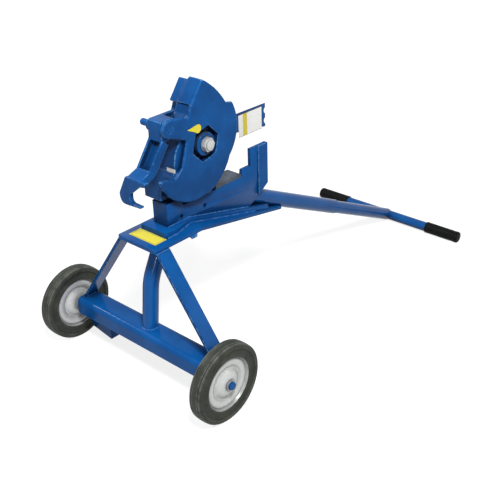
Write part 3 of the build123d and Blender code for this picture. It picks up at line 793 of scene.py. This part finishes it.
def grip_line(bore, outer, long):
    """A grip's half outline from its inner end: a collar, fine rings and a round end with a hole."""
    line = [
        (bore, 0.0), (outer - 0.0006, 0.0), (outer, 0.0008), (outer, 0.0060), (outer - ring_dip, 0.0072),
    ]
    for k in range(grip_rings):
        start = ring_first + k * ring_pitch
        line += [
            (outer - ring_dip, start), (outer - ring_rise, start + 0.0012),
            (outer - ring_rise, start + 0.0038), (outer - ring_dip, start + 0.0050),
        ]
    line += [
        (outer - 0.0004, long - 0.0160), (outer, long - 0.0120), (outer - 0.0004, long - 0.0045),
        (outer - 0.0020, long - 0.0018), (outer - 0.0055, long), (end_hole, long),
        (end_hole, long - end_wall), (bore, long - end_wall),
    ]
    return line


def shape_grips():
    bar_low, bar_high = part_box("t_bar")
    bore = (bar_high.x - bar_low.x) / 2
    for side, way in (("near", -1.0), ("far", 1.0)):
        low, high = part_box(side + "_grip")
        long = high.y - low.y
        line = grip_line(bore, (high.x - low.x) / 2, long)
        profile = [(radius, way * (offset - long / 2)) for radius, offset in line]
        name = side + "_grip_moulded"
        grip = turned_piece(profile, (low + high) / 2, name, rubber_grip, "frame", 72)
        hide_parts(side + "_grip")


def oval(centre, across, along, count=48):
    turns = [tau * k / count for k in range(count + 1)]
    return [centre + Vector((along * cos(turn), across * sin(turn), 0.0)) for turn in turns]


# the table is level as far as its fold, and from there its tongue falls by this share of its run
fold_run = 0.088
tongue_slope = 0.256
fold_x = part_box("near_side_plate")[0].x + fold_run
brace_foot_width = 0.0118
leg_lean = 1.12


def on_table(x, y, top):
    """A point on the table or a plate on it, given its height in front of the fold."""
    return Vector((x, y, top - tongue_slope * max(0.0, x - fold_x)))


def weld_braces(bm):
    channel_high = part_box("base_channel")[1]
    brace_low, brace_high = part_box("near_brace")
    foot, head = -brace_low.y, -brace_high.y
    front, back = brace_low.x + 0.002, channel_high.x - 0.018
    head_back = brace_high.x - 0.002
    for way in (-1.0, 1.0):
        for y in (foot, foot - brace_foot_width):
            ends = [Vector((x, way * y, channel_high.z)) for x in (front, back)]
            lay_bead(bm, ends, 0.0036)
        for y in (head, head + brace_foot_width):
            ends = [Vector((x, way * y, brace_high.z)) for x in (front, head_back)]
            lay_bead(bm, ends, 0.0034)


def weld_leg(bm):
    low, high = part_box("centre_leg")
    tube = (high.y - low.y) / 2
    on_channel = Vector((low.x + tube + 0.0005, 0.0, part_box("base_channel")[1].z))
    under_plate = Vector((high.x - leg_lean * tube, 0.0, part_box("near_brace")[1].z))
    lay_bead(bm, oval(on_channel, tube, tube), 0.0040)
    lay_bead(bm, oval(under_plate, tube, leg_lean * tube), 0.0040)


def weld_body(bm):
    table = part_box("top_plate")[1].z
    base_low, base_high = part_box("body_base")
    body_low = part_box("near_side_plate")[0]
    half = -body_low.y
    rim_half = half + 0.005
    for way in (-1.0, 1.0):
        side_run = (body_low.x, fold_x, fold_x + 0.27)
        lay_bead(bm, [on_table(x, way * half, base_high.z) for x in side_run], 0.0034)
        rim = [on_table(base_low.x + x, way * base_high.y, table) for x in (0.006, 0.046)]
        rim += [on_table(x, way * rim_half, table) for x in (fold_x, fold_x + 0.30)]
        lay_bead(bm, rim, 0.0038)


def weld_upright(bm):
    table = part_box("top_plate")[1].z
    low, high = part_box("shaft_upright")
    for y in (low.y, high.y):
        lay_bead(bm, [on_table(x, y, table) for x in (low.x, fold_x, high.x)], 0.0040)


def lay_welds():
    """Beads at the joints of the stand, body and upright."""
    bm = bmesh.new()
    weld_braces(bm)
    weld_leg(bm)
    weld_body(bm)
    weld_upright(bm)
    piece_from(bm, "stand_welds", weld_paint, "frame", 50.0)


tick_count = 6
tick_pitch = 0.0056
tick_tilt = radians(-46.5)


def cut_ticks():
    """Plain marks cast on the nose below the index bar, in the darker greasy paint as painted shade between raised
    teeth.
    """
    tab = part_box("index_tab")[0]
    turn = Matrix.Rotation(tick_tilt, 3, "Y")
    bm = bmesh.new()
    for k in range(tick_count):
        y = tab.y + 0.006 + k * tick_pitch
        long = 0.0075 if k % 2 else 0.0055
        centre = Vector((tab.x - 0.006 - 0.7 * long, y, tab.z - 0.0064 - 0.73 * long))
        bevelled_bar(bm, centre, (long, 0.0010, 0.0007), turn, 0.0004)
    piece_from(bm, "nose_ticks", grease_and_shade_paint, "shoe")


dress_nodes()
ease_plates()
shape_tyres()
shape_discs()
shape_grips()
cast("bending_shoe", voxel=0.00195, rounds=5, body="shoe", rounded=[(front_edges, 0.0075)])
jaw_rounds = [(heel_corners, 0.0088), (lip_corners, 0.0035)]
cast("conduit_hook", voxel=0.0015, rounds=22, body="hook", rounded=jaw_rounds)
lay_welds()
cut_ticks()

lay_floor()
light_sky(ambient=0.10)
soft_lamp("key", place=(-1.8, -2.2, 3.8), aim=(0.0, 0.0, 0.4), size=1.0, power=192.0)
soft_lamp("front", place=(-3.2, -1.9, 1.2), aim=(0.0, 0.0, 0.5), size=0.4, power=20.0)
soft_lamp("fill", place=(1.4, -3.0, 1.6), aim=(0.2, 0.0, 0.3), size=1.0, power=6.0)
soft_lamp("back", place=(-1.0, 2.9, 2.7), aim=(0.0, 0.0, 0.3), size=1.0, power=50.0)
set_camera()
bpy.context.scene.view_settings.view_transform = "Standard"
